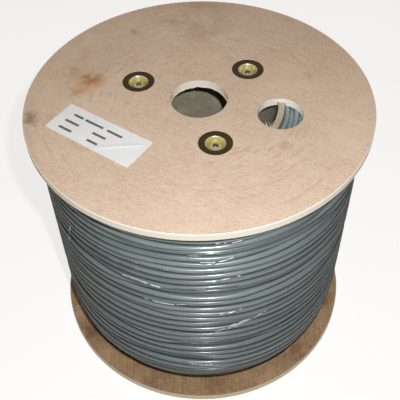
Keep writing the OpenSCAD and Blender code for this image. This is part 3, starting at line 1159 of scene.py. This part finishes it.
# %% Lift the paper
FOLD_HALF = 0.0022
FOLD_H = 0.0005
BUBBLE_SCALE = 55.0
BUBBLE_H = 0.00022
CURL_H = 0.0009
CURL_FROM = 0.055
CURL_FULL = 0.072
for vert in bm.verts:
    off = (vert.co - crease_from).dot(crease_across)
    run = (vert.co - crease_from).dot(crease_way) / (crease_to - crease_from).length
    fold = ease(run, -0.15, 0.2) * ease(run, 1.15, 0.8) * max(0.0, 1.0 - abs(off) / FOLD_HALF)
    bubble = max(0.0, noise.noise(Vector((vert.co.x * BUBBLE_SCALE, vert.co.y * BUBBLE_SCALE, 4.0))))
    curl = ease(vert.co.x + vert.co.y, CURL_FROM, CURL_FULL)
    vert.co.z = LABEL_T + LABEL_GAP + FOLD_H * fold + BUBBLE_H * bubble + CURL_H * curl
bmesh.ops.recalc_face_normals(bm, faces=bm.faces[:])
bmesh.ops.solidify(bm, geom=bm.faces[:], thickness=LABEL_T)
bmesh.ops.transform(bm, matrix=label_place, verts=bm.verts[:])
print("faces of the thick label:", len(bm.faces))

# %% Finish the label
finish_paper, tree, shader, place = start_finish("label_paper")
centred = vector_step(tree, "SUBTRACT", place["Object"], (label_mid.x, label_mid.y, drum_h))
paper_parts = parts_of(tree, turned_place(tree, centred, -label_turn))
clouds = place_clouds(tree, place, 0.02, 0.0006)
paper = blend_colours(tree, clouds["Cloud"], (243, 248, 255), (249, 252, 255))
paper = tint(tree, paper, clouds["Speck"], 0.15, (228, 229, 236))
# Each bar has its middle and half its length, in metres on the label
ruled_bars = [
    ((-0.0310, 0.0088), 0.0058),
    ((-0.0120, 0.0088), 0.0108),
    ((0.0125, 0.0088), 0.0090),
    ((-0.0310, -0.0012), 0.0082),
    ((0.0020, -0.0012), 0.0078),
    ((-0.0310, -0.0112), 0.0078),
    ((0.0020, -0.0112), 0.0062),
]
BAR_HALF = 0.0014
INK_BLUR = 0.0002
bars = []
for (middle_x, middle_y), half_long in ruled_bars:
    off_x = distance_from(tree, paper_parts["X"], middle_x)
    off_y = distance_from(tree, paper_parts["Y"], middle_y)
    in_x = ramp_between(tree, off_x, half_long + INK_BLUR, half_long - INK_BLUR)
    in_y = ramp_between(tree, off_y, BAR_HALF + INK_BLUR, BAR_HALF - INK_BLUR)
    bars.append(times(tree, in_x, in_y))
worn_ink = times(tree, join_masks(tree, bars), stretch_to(tree, clouds["Speck"], 0.95, 0.75))
fill_inputs(shader, {
    "Base Color": blend_colours(tree, worn_ink, paper, (70, 68, 72)),
    "Roughness": stretch_to(tree, clouds["Speck"], 0.5, 0.62),
    "Normal": relief(tree, clouds["Speck"], 0.00005, 0.2),
})
label = finish_mesh(bm, "label_sheet", finish_paper, smooth=False)
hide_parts("paper_label")
print("ruled bars:", len(ruled_bars))

# %% [markdown]
# ## Torn fibres
#
# Where the start hole was cut over the end of the barrel, the paper of the tube has torn and a few pale
# strands stand up. Each strand is a small triangle that is extruded step by step, turned and narrowed on
# the way.

# %% Model the torn fibres
STRAND_R = 0.0006
STRAND_STEPS = 5
STRAND_TAPER = 0.82
STRAND_SPREAD = 0.0007
STRAND_TURN = 2.4
FOOT_R = 0.0782
FOOT_SINK = 0.0002
tear_angle = math.radians(-33.0)
tear_foot = Vector((FOOT_R * math.cos(tear_angle), FOOT_R * math.sin(tear_angle), barrel_top - FOOT_SINK))
# Each strand leans towards a point above its foot and bends by some degrees at each step
strands = [
    ((-0.004, 0.008, 0.006), 18.0),
    ((-0.008, 0.003, 0.005), -14.0),
    ((0.002, 0.007, 0.004), 22.0),
    ((-0.004, -0.002, 0.006), -20.0),
    ((-0.009, 0.014, 0.004), 6.0),
    ((0.004, 0.004, 0.005), 16.0),
    ((-0.002, 0.010, 0.003), -12.0),
]
bm = bmesh.new()
for number, (lean, bend) in enumerate(strands):
    way = Vector(lean)
    around = number * STRAND_TURN
    foot = tear_foot + Vector((STRAND_SPREAD * math.sin(around), STRAND_SPREAD * math.cos(around), 0.0))
    aim = way.to_track_quat("Z", "Y").to_matrix().to_4x4()
    ring = bmesh.ops.create_circle(
        bm, cap_ends=True, segments=3, radius=STRAND_R, matrix=Matrix.Translation(foot) @ aim
    )["verts"]
    face = ring[0].link_faces[0]
    step = way / STRAND_STEPS
    for _ in range(STRAND_STEPS):
        grown = bmesh.ops.extrude_face_region(bm, geom=[face])["geom"]
        bmesh.ops.delete(bm, geom=[face], context="FACES_ONLY")
        tip = verts_in(grown)
        face = [part for part in grown if isinstance(part, bmesh.types.BMFace)][0]
        step = Matrix.Rotation(math.radians(bend), 3, "Z") @ step
        bmesh.ops.translate(bm, verts=tip, vec=step)
        middle = sum((vert.co for vert in tip), Vector()) / len(tip)
        bmesh.ops.scale(bm, vec=(STRAND_TAPER,) * 3, space=Matrix.Translation(-middle), verts=tip)
print("strands:", len(strands))

# %% Finish the torn fibres
finish_fibre, tree, shader, place = start_finish("torn_fibre")
clouds = place_clouds(tree, place, 0.003, 0.0005)
fill_inputs(shader, {
    "Base Color": blend_colours(tree, clouds["Cloud"], (238, 234, 222), (254, 252, 246)),
    "Roughness": stretch_to(tree, clouds["Speck"], 0.7, 0.9),
})
fibres = finish_mesh(bm, "torn_fibres", finish_fibre)
print("made", finish_fibre.name)

# %% [markdown]
# The saw that cut the spindle bore tore the veneer where it came out, so the pale wall of the bore ends
# in a ragged edge. A circle just inside the wood is pulled down by a noise of its place into a short
# skirt, which gets a thickness.

# %% Model the torn edge of the bore
TEAR_STEPS = 300
TEAR_T = 0.0006
TEAR_INSET = 0.0001
TEAR_LAP = 0.0004
TEAR_DEPTH = 0.0012
# How deep each noise of the tear goes, and its scale
COARSE_TEAR = (0.0009, 160.0)
FINE_TEAR = (0.0008, 620.0)
bore = next(mount for mount in frame["record"]["mounts"] if mount["name"] == "spindle_bore")
tear_r = bore["dims"]["r_mm"] / 1000 + TEAR_INSET
tear_top = Matrix.Translation((0.0, 0.0, inner_high + TEAR_LAP))
bm = bmesh.new()
bmesh.ops.create_circle(bm, segments=TEAR_STEPS, radius=tear_r, matrix=tear_top)
grown = bmesh.ops.extrude_edge_only(bm, edges=bm.edges[:])["geom"]
for vert in verts_in(grown):
    coarse, fine = [depth * noise.noise(vert.co * scale) for depth, scale in (COARSE_TEAR, FINE_TEAR)]
    vert.co.z -= TEAR_DEPTH + coarse + fine
bmesh.ops.recalc_face_normals(bm, faces=bm.faces[:])
bmesh.ops.solidify(bm, geom=bm.faces[:], thickness=TEAR_T)
bore_tear = finish_mesh(bm, "bore_tear", finish_top, smooth=False)
print("bore tear from radius", round(tear_r, 4))

# %% [markdown]
# ## Floor
#
# The drum stands on a plain white floor that keeps its shadow. Far away the floor curls up into a
# backdrop, as studio paper does, so a low view shows no horizon: the profile of floor and curl is drawn
# once and spun. The floor shows itself to the camera, and to reflections, mostly as its own white, and to
# all other rays as a plain pale surface, so it stays bright without more light on the drum. The lamp
# behind the drum leaves the floor out, because it would draw a bright stripe there.

# %% Lay the floor
FLOOR_STEPS = 48
FLOOR_MERGE = 0.001
floor_profile = [(0.0, 0.0), (20.0, 0.0), (24.0, 0.6), (27.0, 2.5), (29.0, 6.0), (29.5, 9.0)]
bm = bmesh.new()
points = [bm.verts.new((radius, 0, height)) for radius, height in floor_profile]
for pair in zip(points, points[1:]):
    bm.edges.new(pair)
spin_round(bm, FLOOR_STEPS, FLOOR_MERGE)
bmesh.ops.recalc_face_normals(bm, faces=bm.faces)
floor_mesh = bpy.data.meshes.new("floor")
bm.to_mesh(floor_mesh)
bm.free()
floor = bpy.data.objects.new("floor", floor_mesh)
bpy.context.scene.collection.objects.link(floor)
print("floor faces:", len(floor_mesh.polygons))

# %% Finish the floor
LIT_TONE = (0.85, 0.85, 0.84, 1.0)
SEEN_TONE = (0.35, 0.35, 0.35, 1.0)
SEEN_GLOW = 0.78
WHITE = (1.0, 1.0, 1.0, 1.0)
finish_floor = bpy.data.materials.new("pale_floor")
finish_floor.use_nodes = True
tree = finish_floor.node_tree
tree.nodes.remove(tree.nodes["Principled BSDF"])
path = tree.nodes.new("ShaderNodeLightPath").outputs
seen = join_masks(tree, [path[ray] for ray in ("Is Camera Ray", "Is Glossy Ray", "Is Transmission Ray")])
pale = add_node(tree, "BsdfDiffuse", {"Color": LIT_TONE}).outputs[0]
grey = add_node(tree, "BsdfDiffuse", {"Color": SEEN_TONE}).outputs[0]
glow = add_node(tree, "Emission", {"Color": WHITE, "Strength": SEEN_GLOW}).outputs[0]
white = add_node(tree, "AddShader", {0: grey, 1: glow}).outputs[0]
shown = add_node(tree, "MixShader", {0: seen, 1: pale, 2: white}).outputs[0]
fill_inputs(tree.nodes["Material Output"], {"Surface": shown})
floor_mesh.materials.append(finish_floor)

unlit = bpy.data.collections.new("not_lit_from_behind")
unlit.objects.link(floor)
unlit.collection_objects[0].light_linking.link_state = "EXCLUDE"
back_lamp.light_linking.receiver_collection = unlit
print("made", finish_floor.name)
